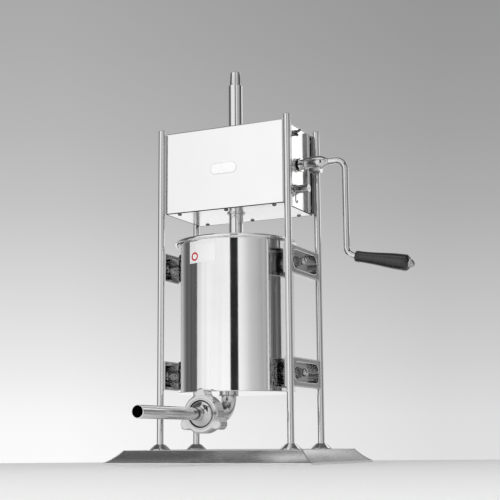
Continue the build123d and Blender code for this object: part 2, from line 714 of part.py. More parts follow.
LABEL_ANGLE = math.radians(-99.6)
LABEL_HALF = math.radians(15.3)
LABEL_Z = (364.0, 405.0)
LABEL_T = 0.25
with BuildPart() as barrel_label:
    with BuildSketch(Plane.XY.offset(LABEL_Z[0])):
        with BuildLine() as outline:
            for radius in (BARREL_R, BARREL_R + LABEL_T):
                CenterArc((0, ROD_Y), radius, math.degrees(LABEL_ANGLE - LABEL_HALF), math.degrees(2 * LABEL_HALF))
            for end in (LABEL_ANGLE - LABEL_HALF, LABEL_ANGLE + LABEL_HALF):
                corners = [
                    (radius * math.cos(end), ROD_Y + radius * math.sin(end))
                    for radius in (BARREL_R, BARREL_R + LABEL_T)
                ]
                Line(*corners)
        make_face()
    extrude(amount=LABEL_Z[1] - LABEL_Z[0])
save(barrel_label, "barrel_label")

# Pressed channel brackets between the columns, one above the other on each side
for side, name in ((-1, "left"), (1, "right")):
    for level, z in zip(("lower", "upper"), BRACKET_Z):
        with BuildPart() as bracket:
            outer = plane_x(side * BRACKET_X1, 0, z)
            with BuildSketch(outer):
                Rectangle(2 * COL_Y, BRACKET_H)
            extrude(amount=-side * (BRACKET_X1 - BRACKET_X0))
            fillet(bracket.edges().filter_by(Axis.Y), radius=2.0)
            with BuildSketch(outer):
                SlotOverall(2 * (COL_Y - COL_R) - 12, BRACKET_H - 2 * BRACKET_BAND)
            extrude(amount=-side * (BRACKET_X1 - BRACKET_X0 - 2.5), mode=Mode.SUBTRACT)
            with BuildSketch(plane_x(side * BRACKET_X0, 0, z)):
                Rectangle(2 * COL_Y - 2, BRACKET_H - 5)
                SlotOverall(2 * (COL_Y - COL_R) - 7, BRACKET_H - 2 * BRACKET_BAND + 5, mode=Mode.SUBTRACT)
            extrude(amount=side * (BRACKET_X1 - BRACKET_X0 - 2.5), mode=Mode.SUBTRACT)
            with BuildSketch(plane_x(side * BRACKET_X0, ROD_Y, z)):
                Circle(STUD_R)
            extrude(amount=side * 5, mode=Mode.SUBTRACT)
            with BuildSketch(Plane.XY.offset(z - BRACKET_H)):
                with Locations((side * COL_X, COL_Y), (side * COL_X, -COL_Y)):
                    Circle(COL_R)
            extrude(amount=2 * BRACKET_H, mode=Mode.SUBTRACT)
        save(bracket, f"bracket_{name}_{level}")

STUD_PAD_R = 13.0
STUD_LENGTH = 18.0
WASHER_R = 11.0
WASHER_T = 2.0
STUD_NUT_H = 6.0
STUD_SPOTS = [(side, z) for side in (-1, 1) for z in BRACKET_Z]
WASHER_X = BRACKET_X0 + 2.5
with BuildPart() as barrel_studs:
    for side, z in STUD_SPOTS:
        with BuildSketch(plane_x(side * (BARREL_R - 0.9), ROD_Y, z)):
            Circle(STUD_PAD_R)
        extrude(amount=side * (BRACKET_X0 - BARREL_R + 0.9))
        with BuildSketch(plane_x(side * BRACKET_X0, ROD_Y, z)):
            Circle(STUD_R)
        extrude(amount=side * STUD_LENGTH)
    with BuildSketch(Plane.XY.offset(BARREL_Z0)):
        with Locations((0, ROD_Y)):
            Circle(BARREL_R)
    extrude(amount=BARREL_Z1 - BARREL_Z0, mode=Mode.SUBTRACT)
save(barrel_studs, "barrel_studs")

NUT_X = WASHER_X + WASHER_T
with BuildPart() as stud_nuts:
    for side, z in STUD_SPOTS:
        with BuildSketch(plane_x(side * WASHER_X, ROD_Y, z)):
            Circle(WASHER_R)
            Circle(STUD_R, mode=Mode.SUBTRACT)
        extrude(amount=side * WASHER_T)
        with BuildSketch(plane_x(side * NUT_X, ROD_Y, z)):
            RegularPolygon(8.5, 6, major_radius=False)
            Circle(STUD_R, mode=Mode.SUBTRACT)
        extrude(amount=side * STUD_NUT_H)
save(stud_nuts, "stud_nuts")

DOME_X = NUT_X + STUD_NUT_H
DOME_BORE = BRACKET_X0 + STUD_LENGTH - DOME_X
DOME_R = 7.5
with BuildPart() as dome:
    with BuildSketch(Plane.XZ):
        with BuildLine():
            Polyline((0, 4.0 + DOME_R), (0, DOME_BORE), (STUD_R, DOME_BORE))
            Polyline((STUD_R, DOME_BORE), (STUD_R, 0), (DOME_R, 0), (DOME_R, 4.0))
            CenterArc((0, 4.0), DOME_R, 0, 90)
        make_face()
    revolve(axis=Axis.Z)
with BuildPart() as stud_domes:
    for side, z in STUD_SPOTS:
        add(dome.part.moved(Location((side * DOME_X, ROD_Y, z), (0, side * 90, 0))))
save(stud_domes, "stud_domes")

# ---------------------------------------------------------------- outlet
BEND_TOP = SPOUT_Z + BEND_R
with BuildPart() as outlet_elbow:
    with BuildLine() as spout:
        Line((0, OUTLET_Y, BARREL_Z0), (0, OUTLET_Y, BEND_TOP))
        bend_middle = (
            0,
            OUTLET_Y - BEND_R * (1 - math.cos(math.pi / 4)),
            BEND_TOP - BEND_R * math.sin(math.pi / 4),
        )
        ThreePointArc((0, OUTLET_Y, BEND_TOP), bend_middle, (0, OUTLET_Y - BEND_R, SPOUT_Z))
        Line((0, OUTLET_Y - BEND_R, SPOUT_Z), (0, SPIGOT_Y, SPOUT_Z))
    with BuildSketch(Plane((0, OUTLET_Y, BARREL_Z0))):
        Circle(PIPE_R)
    sweep()
    with BuildSketch(Plane((0, OUTLET_Y, BARREL_Z0))):
        Circle(PIPE_R + 4)
    extrude(amount=-4)
    with BuildSketch(plane_y(SPIGOT_Y, 0, SPOUT_Z)):
        Circle(SPIGOT_R)
    extrude(amount=-14)
    with BuildSketch(plane_y(SPIGOT_Y + 14, 0, SPOUT_Z)):
        Circle(SPIGOT_R - 3)
    extrude(amount=-12, taper=38)
with BuildPart() as outlet_bore:
    with BuildSketch(Plane((0, OUTLET_Y, BARREL_Z0))):
        Circle(PIPE_R - 3)
    sweep(path=spout.line)
with BuildPart() as outlet:
    add(outlet_elbow.part)
    add(outlet_bore.part, mode=Mode.SUBTRACT)
save(outlet, "outlet_elbow")

FLANGE_R = 28.0
with BuildPart() as outlet_gasket:
    with BuildSketch(plane_y(SPIGOT_Y, 0, SPOUT_Z)):
        Circle(FLANGE_R - 1)
        Circle(PIPE_R, mode=Mode.SUBTRACT)
    extrude(amount=1.0)
save(outlet_gasket, "outlet_gasket")

FLANGE_Y = SPIGOT_Y - 1.0       # face of the nozzle's flange on the gasket
LIP_BACK = FLANGE_Y - 2.5       # front face of that flange
with BuildPart() as nozzle:
    with BuildSketch(Plane.XY):
        with BuildLine():
            Polyline((NOZZLE_BORE, -FLANGE_Y), (FLANGE_R, -FLANGE_Y), (FLANGE_R, -LIP_BACK), (23.5, -LIP_BACK))
            Spline(
                (23.5, -LIP_BACK),
                (19.0, -LIP_BACK + 6.0),
                (NOZZLE_R, -LIP_BACK + 15.0),
                tangents=((-0.25, 1), (0, 1)),
            )
            Polyline(
                (NOZZLE_R, -LIP_BACK + 15.0),
                (NOZZLE_R, -NOZZLE_END),
                (NOZZLE_BORE, -NOZZLE_END),
                (NOZZLE_BORE, -FLANGE_Y),
            )
        make_face()
    revolve(axis=Axis.Y)
nozzle_body = nozzle.part
with BuildPart() as nozzle:
    add(nozzle_body.moved(Location((0, 0, SPOUT_Z), (180, 0, 0))))
save(nozzle, "nozzle")

NUT_R = 34.0
LOBE_END_R = 10.0
NUT_HOLE_R = 24.5
with BuildPart() as ring_nut:
    with BuildSketch(plane_y(NUT_Y0, 0, SPOUT_Z)) as nut_outline:
        Circle(NUT_R)
        with PolarLocations(NUT_LOBE_R - LOBE_END_R, 3, start_angle=90):
            Circle(LOBE_END_R)
        fillet(nut_outline.vertices(), radius=7)
    extrude(amount=NUT_Y0 - NUT_Y1)
    chamfer(ring_nut.faces().filter_by(Axis.Y).edges(), length=1.8)
    with BuildSketch(plane_y(NUT_Y0, 0, SPOUT_Z)):
        Circle(SPIGOT_R + 0.5)
    extrude(amount=NUT_Y0 - LIP_BACK + GAP, mode=Mode.SUBTRACT)
    with BuildSketch(plane_y(NUT_Y0, 0, SPOUT_Z)):
        Circle(NUT_HOLE_R)
    extrude(amount=2 * (NUT_Y0 - NUT_Y1), mode=Mode.SUBTRACT)
save(ring_nut, "ring_nut")

# ---------------------------------------------------------------- piston
CORE_Z = PISTON_Z + 4.0
TOP_PLATE_Z = CORE_Z + 8.0
HUB_Z = TOP_PLATE_Z + 3.0
ROD_SEAT = TOP_PLATE_Z          # the rod's shoulder stands on the core
VALVE_R = 6.0
STEM_R = 3.0
BOLT_R = 5.0
PLATE_SCREWS = 4
PLATE_PCD_R = 70.0

with BuildPart() as piston_plate:
    with BuildSketch(Plane((0, ROD_Y, PISTON_Z))):
        Circle(PLATE_R)
    extrude(amount=4)
    chamfer(piston_plate.faces().sort_by(Axis.Z)[0].edges(), length=1.5)
    with BuildSketch(Plane((0, ROD_Y, CORE_Z))):
        Circle(CORE_R)
    extrude(amount=8)
    with BuildSketch(Plane((0, ROD_Y, PISTON_Z - 1))):
        Circle(BOLT_R)
        with Locations((VALVE_X, 0)):
            Circle(VALVE_R)
        with PolarLocations(PLATE_PCD_R, PLATE_SCREWS, start_angle=45):
            Circle(SCREW_R)
    extrude(amount=20, mode=Mode.SUBTRACT)
save(piston_plate, "piston_plate")

with BuildPart() as piston_seal:
    with BuildSketch(Plane.XZ):
        with BuildLine():
            Polyline((CORE_R, 0), (SEAL_R - 1.5, 0), (SEAL_R, 1.5), (SEAL_R - 2.0, 4.0), (SEAL_R, 6.5),
                     (SEAL_R - 1.5, 8), (CORE_R, 8), close=True)
        make_face()
    revolve(axis=Axis.Z)
seal = piston_seal.part
with BuildPart() as piston_seal:
    add(seal.moved(Location((0, ROD_Y, CORE_Z))))
save(piston_seal, "piston_seal")

with BuildPart() as piston_cover:
    with BuildSketch(Plane((0, ROD_Y, TOP_PLATE_Z))):
        Circle(PLATE_R)
        Circle(ROD_R, mode=Mode.SUBTRACT)
        with Locations((VALVE_X, 0)):
            Circle(VALVE_R, mode=Mode.SUBTRACT)
        with PolarLocations(PLATE_PCD_R, PLATE_SCREWS, start_angle=45):
            Circle(SCREW_R, mode=Mode.SUBTRACT)
    extrude(amount=3)
save(piston_cover, "piston_cover")

with BuildPart() as piston_hub:
    with BuildSketch(Plane((0, ROD_Y, HUB_Z))):
        Circle(26)
        Circle(ROD_R, mode=Mode.SUBTRACT)
    extrude(amount=5)
    with BuildSketch(Plane((0, ROD_Y, HUB_Z))):
        Circle(19)
        Circle(ROD_R, mode=Mode.SUBTRACT)
    extrude(amount=16)
    chamfer(piston_hub.faces().sort_by(Axis.Z)[-1].edges(), length=1.0)
save(piston_hub, "piston_hub")

with BuildPart() as piston_screws:
    with Locations((0, ROD_Y, 0)):
        with PolarLocations(PLATE_PCD_R, PLATE_SCREWS, start_angle=45):
            add(button_screw.part.moved(Location((0, 0, HUB_Z))))
save(piston_screws, "piston_screws")

with BuildPart() as piston_bolt:
    with BuildSketch(Plane((0, ROD_Y, PISTON_Z - 6))):
        RegularPolygon(9.0, 6, major_radius=False)
    extrude(amount=6)
    with BuildSketch(Plane((0, ROD_Y, PISTON_Z - 6))):
        Circle(BOLT_R)
    extrude(amount=6 + 12 + 20)
    chamfer(piston_bolt.faces().sort_by(Axis.Z)[0].edges(), length=0.8)
save(piston_bolt, "piston_bolt")

with BuildPart() as rod_blank:
    with BuildSketch(Plane.XZ):
        with BuildLine():
            Polyline(
                (0, ROD_SEAT),
                (ROD_R, ROD_SEAT),
                (ROD_R, ROD_STEP - 1.2),
                (ROD_R - 1.2, ROD_STEP),
                (11.6, ROD_STEP),
                (10.2, ROD_TOP - 1.0),
                (9.2, ROD_TOP),
                (0, ROD_TOP),
                close=True,
            )
        make_face()
    revolve(axis=Axis.Z)
with BuildPart() as rack_rod:
    add(rod_blank.part.moved(Location((0, ROD_Y, 0))))
    # Rack teeth are cut across the rear of the rod, with a gap facing the pinion at rest.
    pitch = math.pi * RACK_MODULE
    slope = math.tan(PRESSURE_ANGLE)
    tip_y = ROD_Y + RACK_PITCH_LINE + RACK_ADDENDUM
    root_y = ROD_Y + RACK_PITCH_LINE - RACK_DEDENDUM
    tip_half = pitch / 4 + BACKLASH + RACK_ADDENDUM * slope
    root_half = pitch / 4 + BACKLASH - RACK_DEDENDUM * slope
    first_z = SHAFT_Z - pitch * math.floor((SHAFT_Z - ROD_SEAT - 36) / pitch)
    comb = [(tip_y + 10, first_z - tip_half), (tip_y, first_z - tip_half)]
    for index in range(RACK_TEETH):
        gap_z = first_z + pitch * index
        comb.append((tip_y, gap_z - tip_half))
        comb.append((root_y, gap_z - root_half))
        comb.append((root_y, gap_z + root_half))
        comb.append((tip_y, gap_z + tip_half))
    comb.append((tip_y + 10, comb[-1][1]))
    del comb[1]
    with BuildSketch(Plane.YZ):
        polygon_face(comb)
    extrude(amount=ROD_R + 1, both=True, mode=Mode.SUBTRACT)
    with BuildSketch(Plane((0, ROD_Y, ROD_SEAT))):
        Circle(BOLT_R)
    extrude(amount=20, mode=Mode.SUBTRACT)
save(rack_rod, "rack_rod")

# Air valve: a stem that lifts in a seat when trapped air pushes it
with BuildPart() as valve_seat:
    with BuildSketch(Plane((VALVE_X, ROD_Y, PISTON_Z))):
        Circle(VALVE_R)
        Circle(STEM_R + FIT, mode=Mode.SUBTRACT)
    extrude(amount=HUB_Z - PISTON_Z + 6)
    with BuildSketch(Plane((VALVE_X, ROD_Y, HUB_Z))):
        Circle(9)
        Circle(STEM_R + FIT, mode=Mode.SUBTRACT)
    extrude(amount=2)
save(valve_seat, "valve_seat")

VALVE_LIFT = 3.0
with BuildPart() as valve_stem:
    with BuildSketch(Plane((VALVE_X, ROD_Y, PISTON_Z - 1.5 - VALVE_LIFT))):
        Circle(8)
    extrude(amount=1.5)
    with BuildSketch(Plane((VALVE_X, ROD_Y, PISTON_Z - 1.5 - VALVE_LIFT))):
        Circle(STEM_R)
    extrude(amount=HUB_Z - PISTON_Z + 6 + 1.5 + VALVE_LIFT + 3)
    with BuildSketch(Plane((VALVE_X, ROD_Y, HUB_Z + 6 + GAP))):
        Circle(7)
    extrude(amount=3)
    chamfer(valve_stem.faces().sort_by(Axis.Z)[-1].edges(), length=0.6)
save(valve_stem, "valve_stem")
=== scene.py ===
import math

import bmesh
import bpy
from mathutils import Matrix, Vector


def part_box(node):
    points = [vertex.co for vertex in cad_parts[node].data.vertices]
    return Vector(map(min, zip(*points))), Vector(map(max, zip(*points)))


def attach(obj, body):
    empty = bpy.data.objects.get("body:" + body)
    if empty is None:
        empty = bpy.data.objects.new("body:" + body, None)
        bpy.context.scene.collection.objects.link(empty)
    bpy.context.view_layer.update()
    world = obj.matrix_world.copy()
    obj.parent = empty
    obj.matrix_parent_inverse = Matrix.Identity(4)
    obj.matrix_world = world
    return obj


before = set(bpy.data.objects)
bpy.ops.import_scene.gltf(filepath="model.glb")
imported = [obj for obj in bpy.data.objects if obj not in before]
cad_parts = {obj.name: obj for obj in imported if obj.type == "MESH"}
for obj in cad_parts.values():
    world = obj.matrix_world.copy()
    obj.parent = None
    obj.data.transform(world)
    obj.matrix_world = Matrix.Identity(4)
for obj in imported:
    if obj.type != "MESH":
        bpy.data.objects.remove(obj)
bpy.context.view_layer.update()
MM = 0.001

# ---------------------------------------------------------------- studio settings, in m
CAMERA_PLACE = Vector((0.948, -1.942, 0.0386))
CAMERA_YAW = math.radians(25.5)          # to the left of straight back
CAMERA_PITCH = math.radians(9.59)
CAMERA_ROLL = math.radians(-0.42)
CAMERA_LENS = 81.9
SENSOR = 36.0
VIEW_AHEAD = Vector((-math.sin(CAMERA_YAW), math.cos(CAMERA_YAW), 0))
VIEW_RIGHT = Vector((math.cos(CAMERA_YAW), math.sin(CAMERA_YAW), 0))
TABLE_BEHIND = 0.20                      # how far the table runs on behind the part

ROOM_SIDES = 0.10                        # grey of the room beside the lights
ROOM_FRONT = 0.02                        # grey of the room behind the camera
ROOM_TURN = (-0.85, -0.45)               # where the view direction goes from that front to the sides
BACKDROP_TURN = (0.45, 0.85)             # and from the sides to the backdrop, both as dot products
BACKDROP_RISE = (-0.05, 0.40)            # Z of the directions at the two ends of the backdrop's tones
BACKDROP_TONES = ((0.0, 0.88), (1.0, 0.34), (0.16, 0.83), (0.27, 0.72), (0.40, 0.615), (0.56, 0.49),
                  (0.70, 0.42), (0.86, 0.37))
BACKDROP_ACROSS = (-0.16, 0.16, 1.13, 0.87)   # left and right directions, and the factor at each
STREAK_SCALE = (9.0, 9.0, 0.4)
STREAK_TONES = (0.5, 1.6)                # darkest and brightest streak, as factors of ROOM_SIDES
OVERHEAD = 1.5                           # lights from this height up point straight down
TABLE_WIDE = 1.4
TABLE_FRONT = -1.6


NOISE_SPAN = (0.3, 0.7)                  # the part of a noise's range that carries most of its values
LABEL_RING = (0.22, 0.30)                # the ring's centre as shares of the label's width and height
LABEL_RING_RADIUS = 0.0065
LABEL_RING_HALF_WIDTH = 0.0016
LABEL_RED = (0.55, 0.02, 0.03, 1.0)


# ---------------------------------------------------------------- node helpers
class Nodes:
    """Short calls for building one node tree."""

    def __init__(self, tree):
        self.tree = tree
        tree.nodes.clear()

    def add(self, kind, **settings):
        node = self.tree.nodes.new(kind)
        for key, value in settings.items():
            setattr(node, key, value)
        return node

    def link(self, out_socket, in_socket):
        self.tree.links.new(out_socket, in_socket)

    def coords(self, stretch=(1, 1, 1)):
        """Object coordinates, stretched per axis."""
        place = self.add("ShaderNodeTexCoord")
        mapping = self.add("ShaderNodeMapping")
        self.link(place.outputs["Object"], mapping.inputs["Vector"])
        mapping.inputs["Scale"].default_value = stretch
        return mapping.outputs["Vector"]

    def noise(self, vector, scale, detail=3.0, roughness=0.5):
        node = self.add("ShaderNodeTexNoise")
        self.link(vector, node.inputs["Vector"])
        node.inputs["Scale"].default_value = scale
        node.inputs["Detail"].default_value = detail
        node.inputs["Roughness"].default_value = roughness
        return node.outputs["Fac"]

    def remap(self, value, low, high, out_low, out_high):
        node = self.add("ShaderNodeMapRange")
        self.link(value, node.inputs["Value"])
        node.inputs["From Min"].default_value = low
        node.inputs["From Max"].default_value = high
        node.inputs["To Min"].default_value = out_low
        node.inputs["To Max"].default_value = out_high
        return node.outputs["Result"]

    def math(self, operation, a, b=None):
        node = self.add("ShaderNodeMath", operation=operation)
        for index, value in enumerate((a, b)):
            if value is None:
                continue
            if isinstance(value, bpy.types.NodeSocket):
                self.link(value, node.inputs[index])
            else:
                node.inputs[index].default_value = value
        return node.outputs[0]

    def mix_colour(self, factor, a, b):
        node = self.add("ShaderNodeMix", data_type="RGBA")
        for index, value in ((0, factor), (6, a), (7, b)):
            if isinstance(value, bpy.types.NodeSocket):
                self.link(value, node.inputs[index])
            else:
                node.inputs[index].default_value = value
        return node.outputs[2]

    def bump(self, height, distance, strength=1.0, normal=None):
        node = self.add("ShaderNodeBump")
        self.link(height, node.inputs["Height"])
        node.inputs["Distance"].default_value = distance
        node.inputs["Strength"].default_value = strength
        if normal is not None:
            self.link(normal, node.inputs["Normal"])
        return node.outputs["Normal"]


def grey(value):
    return (value, value, value, 1.0)


def new_material(name):
    material = bpy.data.materials.new(name)
    material.use_nodes = True
    nodes = Nodes(material.node_tree)
    shader = nodes.add("ShaderNodeBsdfPrincipled")
    output = nodes.add("ShaderNodeOutputMaterial")
    nodes.link(shader.outputs["BSDF"], output.inputs["Surface"])
    return material, nodes, shader


# ---------------------------------------------------------------- materials
def steel(name, tone, rough, stretch, brush, relief, blotch=0.03):
    """Stainless steel: brushing along one axis, faint smears, and edges worn brighter."""
    material, nodes, shader = new_material(name)
    lines = nodes.noise(nodes.coords(stretch), 1.0, 4.0, 0.6)
    smears = nodes.noise(nodes.coords(), 18.0, 3.0, 0.55)
    fine = nodes.remap(lines, *NOISE_SPAN, rough - brush, rough + brush)
    wide = nodes.remap(smears, *NOISE_SPAN, -blotch, blotch)
    nodes.link(nodes.math("ADD", fine, wide), shader.inputs["Roughness"])
    pointed = nodes.add("ShaderNodeNewGeometry").outputs["Pointiness"]
    wear = nodes.remap(pointed, 0.5, 0.56, 0.0, 1.0)
    smeared = nodes.remap(smears, 0.25, 0.75, 0.0, 1.0)
    body = nodes.mix_colour(smeared, grey(tone * 0.94), grey(tone))
    edge = grey(min(1.0, tone * 1.12))
    nodes.link(nodes.mix_colour(wear, body, edge), shader.inputs["Base Color"])
    shader.inputs["Metallic"].default_value = 1.0
    nodes.link(nodes.bump(lines, relief), shader.inputs["Normal"])
    return material


def cast_metal(name, tone, rough):
    """Satin cast steel: fine grain, shallow pits and a slow change of tone."""
    material, nodes, shader = new_material(name)
    grain = nodes.noise(nodes.coords(), 900.0, 3.0, 0.6)
    waves = nodes.noise(nodes.coords(), 60.0, 2.0, 0.5)
    nodes.link(nodes.remap(grain, *NOISE_SPAN, rough - 0.05, rough + 0.07), shader.inputs["Roughness"])
    nodes.link(nodes.mix_colour(waves, grey(tone * 0.9), grey(tone)), shader.inputs["Base Color"])
    shader.inputs["Metallic"].default_value = 1.0
    soft = nodes.bump(waves, 0.00005)
    nodes.link(nodes.bump(grain, 0.00001, 1.0, soft), shader.inputs["Normal"])
    return material


def machined(name, colour, rough):
    """Turned or cut metal with fine tool rings and a film of grease."""
    material, nodes, shader = new_material(name)
    rings = nodes.noise(nodes.coords((2500, 60, 60)), 1.0, 2.0, 0.5)
    film = nodes.noise(nodes.coords(), 70.0, 3.0, 0.5)
    nodes.link(nodes.remap(film, *NOISE_SPAN, rough - 0.1, rough + 0.08), shader.inputs["Roughness"])
    dark = [c * 0.75 for c in colour] + [1.0]
    nodes.link(nodes.mix_colour(film, dark, list(colour) + [1.0]), shader.inputs["Base Color"])
    shader.inputs["Metallic"].default_value = 1.0
    nodes.link(nodes.bump(rings, 0.00002), shader.inputs["Normal"])
    return material


def moulded(name, colour, rough, grain_scale, relief, coat=0.0, sheen=0.5):
    """Moulded plastic or rubber with a fine skin and handling marks."""
    material, nodes, shader = new_material(name)
    skin = nodes.noise(nodes.coords(), grain_scale, 3.0, 0.6)
    rub = nodes.noise(nodes.coords(), 45.0, 4.0, 0.6)
    nodes.link(nodes.remap(rub, 0.35, 0.7, rough - 0.06, rough + 0.12), shader.inputs["Roughness"])
    light = [min(1.0, c * 1.35 + 0.004) for c in colour] + [1.0]
    nodes.link(nodes.mix_colour(rub, list(colour) + [1.0], light), shader.inputs["Base Color"])
    shader.inputs["Coat Weight"].default_value = coat
    shader.inputs["Specular IOR Level"].default_value = sheen
    shader.inputs["Coat Roughness"].default_value = 0.08
    nodes.link(nodes.bump(skin, relief), shader.inputs["Normal"])
    return material


def printed_label(name, node):
    """A blank white label with one plain red ring."""
    material, nodes, shader = new_material(name)
    low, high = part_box(node)
    place = nodes.add("ShaderNodeTexCoord").outputs["Object"]
    split = nodes.add("ShaderNodeSeparateXYZ")
    nodes.link(place, split.inputs["Vector"])
    width = high.x - low.x
    height = high.z - low.z
    across = nodes.math("SUBTRACT", split.outputs["X"], low.x + LABEL_RING[0] * width)
    along = nodes.math("SUBTRACT", split.outputs["Z"], low.z + LABEL_RING[1] * height)
    across_2 = nodes.math("MULTIPLY", across, across)
    along_2 = nodes.math("MULTIPLY", along, along)
    radius = nodes.math("SQRT", nodes.math("ADD", across_2, along_2))
    circle = nodes.math("COMPARE", radius, LABEL_RING_RADIUS)
    circle.node.inputs[2].default_value = LABEL_RING_HALF_WIDTH
    paper = nodes.noise(nodes.coords(), 700.0, 3.0, 0.5)
    white = nodes.mix_colour(paper, grey(0.80), grey(0.92))
    nodes.link(nodes.mix_colour(circle, white, LABEL_RED), shader.inputs["Base Color"])
    nodes.link(nodes.remap(paper, *NOISE_SPAN, 0.30, 0.45), shader.inputs["Roughness"])
    nodes.link(nodes.bump(paper, 0.00002), shader.inputs["Normal"])
    return material


# steel: tone, roughness, brushing scale per axis, spread of the roughness, relief in m, smears
# cast_metal: tone, roughness; machined: colour, roughness
# moulded: colour, roughness, grain scale, relief in m, coat, specular level
MATERIALS = {
    "polished_rod": steel("polished_rod", 0.72, 0.09, (90, 90, 1500), 0.03, 0.000003),
    "polished_tube": steel("polished_tube", 0.72, 0.10, (700, 60, 700), 0.03, 0.000003),
    "barrel_mirror": steel("barrel_mirror", 0.90, 0.08, (25, 25, 1200), 0.02, 0.000003, 0.02),
    "casing_polish": steel("casing_polish", 0.86, 0.20, (30, 900, 900), 0.03, 0.000004),
    "satin_sheet": steel("satin_sheet", 0.68, 0.27, (30, 1400, 1400), 0.06, 0.000004),
    # painted highlight: the base's rolled edges use the base sheet's steel made much lighter (tone 0.97), so
    # that they show as bright lines
    "highlight_edge": steel("highlight_edge", 0.97, 0.38, (300, 300, 300), 0.04, 0.000003),
    # painted shade: the brackets' stainless steel is darkened to tone 0.46 so that their faces look shaded
    "shaded_bracket_sheet": steel("shaded_bracket_sheet", 0.46, 0.15, (1300, 40, 1300), 0.04, 0.000003),
    # painted shade: the head strips' stainless steel is darkened to tone 0.40 for the shaded gap between the
    # head and the columns
    "shaded_strip_sheet": steel("shaded_strip_sheet", 0.40, 0.28, (900, 900, 40), 0.05, 0.000006),
    "cast": cast_metal("cast", 0.74, 0.13),
    "dark_fastener": steel("dark_fastener", 0.24, 0.22, (400, 400, 400), 0.05, 0.000005),
    "fastener": steel("fastener", 0.50, 0.20, (400, 400, 400), 0.05, 0.000006),
    "gear": machined("gear", (0.42, 0.42, 0.44), 0.36),
    "bronze": machined("bronze", (0.50, 0.36, 0.20), 0.34),
    "black_grip": moulded("black_grip", (0.008, 0.008, 0.009), 0.22, 1500.0, 0.00001, 0.5),
    # black rubber, also used as painted shade: the head's shadow lines, the dark fill in the strip grooves
    # and the dark ring in the ring nut's recess
    "black_rubber_and_shade": moulded("black_rubber_and_shade", (0.006, 0.006, 0.006), 0.72, 1200.0, 0.00001, sheen=0.15),
    "silicone": moulded("silicone", (0.78, 0.78, 0.75), 0.55, 900.0, 0.00002),
    "weld": cast_metal("weld", 0.55, 0.26),
    "label": printed_label("label", "barrel_label"),
    "plate": moulded("plate", (0.93, 0.93, 0.93), 0.30, 800.0, 0.000004, 0.6),
}

FINISH = {
    "polished_rod": ["column_front_left", "column_front_right", "column_rear_left", "column_rear_right",
                     "rack_rod", "crank_arm", "grip_spindle", "shaft_collar", "column_feet"],
    "polished_tube": ["nozzle"],
    "barrel_mirror": ["barrel", "barrel_floor"],
    "casing_polish": ["head_cover", "head_side_plate_left", "head_side_plate_right", "head_bottom_plate"],
    "satin_sheet": ["base_pan", "inner_bearing_plate", "piston_plate", "piston_cover", "piston_hub"],
    "shaded_bracket_sheet": ["bracket_left_lower", "bracket_left_upper", "bracket_right_lower",
                      "bracket_right_upper"],
    "shaded_strip_sheet": ["head_strips"],
    "cast": ["outlet_elbow", "ring_nut", "crank_socket", "rod_guide_clip", "drive_collar"],
    "fastener": ["column_nuts", "barrel_studs", "stud_nuts", "stud_domes", "piston_screws",
                 "piston_bolt", "clamp_screw", "grip_nut", "valve_stem", "drive_shaft"],
    "dark_fastener": ["head_screws", "cover_wing_screw", "drive_clip"],
    "gear": ["rack_pinion", "main_gear", "drive_gear", "main_shaft", "main_shaft_circlip",
             "drive_shaft_circlip"],
    "bronze": ["main_shaft_bushes", "drive_shaft_bushes", "rod_guide", "rod_top_bush", "valve_seat"],
    "black_grip": ["grip"],
    "silicone": ["piston_seal", "outlet_gasket"],
    "label": ["barrel_label"],
    "plate": ["name_plate"],
}


def dress_cad():
    """Give every CAD node its finish."""
    for finish, names in FINISH.items():
        for name in names:
            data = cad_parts[name].data
            data.materials.clear()
            data.materials.append(MATERIALS[finish])


# ---------------------------------------------------------------- piece builders
def finish_piece(name, mesh, body, material):
    """Turn a bmesh into a smooth piece that rides on a body and takes the given finish."""
    bmesh.ops.recalc_face_normals(mesh, faces=mesh.faces)
    data = bpy.data.meshes.new(name)
    mesh.to_mesh(data)
    mesh.free()
    for face in data.polygons:
        face.use_smooth = True
    data.materials.append(MATERIALS[material])
    piece = bpy.data.objects.new(name, data)
    bpy.context.scene.collection.objects.link(piece)
    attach(piece, body)


def ripple(angle, amount):
    """An uneven width for weld beads, the same on every run."""
    return 1.0 + amount * (0.6 * math.sin(37 * angle) + 0.4 * math.sin(23 * angle + 1.0))


def add_loops(mesh, loops, closed_path):
    """Skin a row of closed vertex loops, and cap its two ends if the path is open."""
    rows = [[mesh.verts.new(point) for point in loop] for loop in loops]
    count = len(rows[0])
    for index in range(len(rows) if closed_path else len(rows) - 1):
        here, after = rows[index], rows[(index + 1) % len(rows)]
        for k in range(count):
            mesh.faces.new((here[k], here[(k + 1) % count], after[(k + 1) % count], after[k]))
    if not closed_path:
        mesh.faces.new(rows[0])
        mesh.faces.new(rows[-1])


def ring(mesh, centre, axis, radius, bead, steps=72, wobble=0.0, sides=10):
    """A ring with a round section of radius bead, at radius round an axis through centre, in mm."""
    axis = Vector(axis).normalized()
    side = axis.orthogonal().normalized()
    other = axis.cross(side)
    turn = 2 * math.pi / sides
    section = [(radius + bead * math.cos(k * turn), bead * math.sin(k * turn)) for k in range(sides)]
    middle = sum(r for r, _ in section) / sides
    loops = []
    for step in range(steps):
        angle = 2 * math.pi * step / steps
        out = side * math.cos(angle) + other * math.sin(angle)
        grow = ripple(angle, wobble)
        loops.append([
            (Vector(centre) + out * (middle + (r - middle) * grow) + axis * along * grow) * MM
            for r, along in section
        ])
    add_loops(mesh, loops, True)


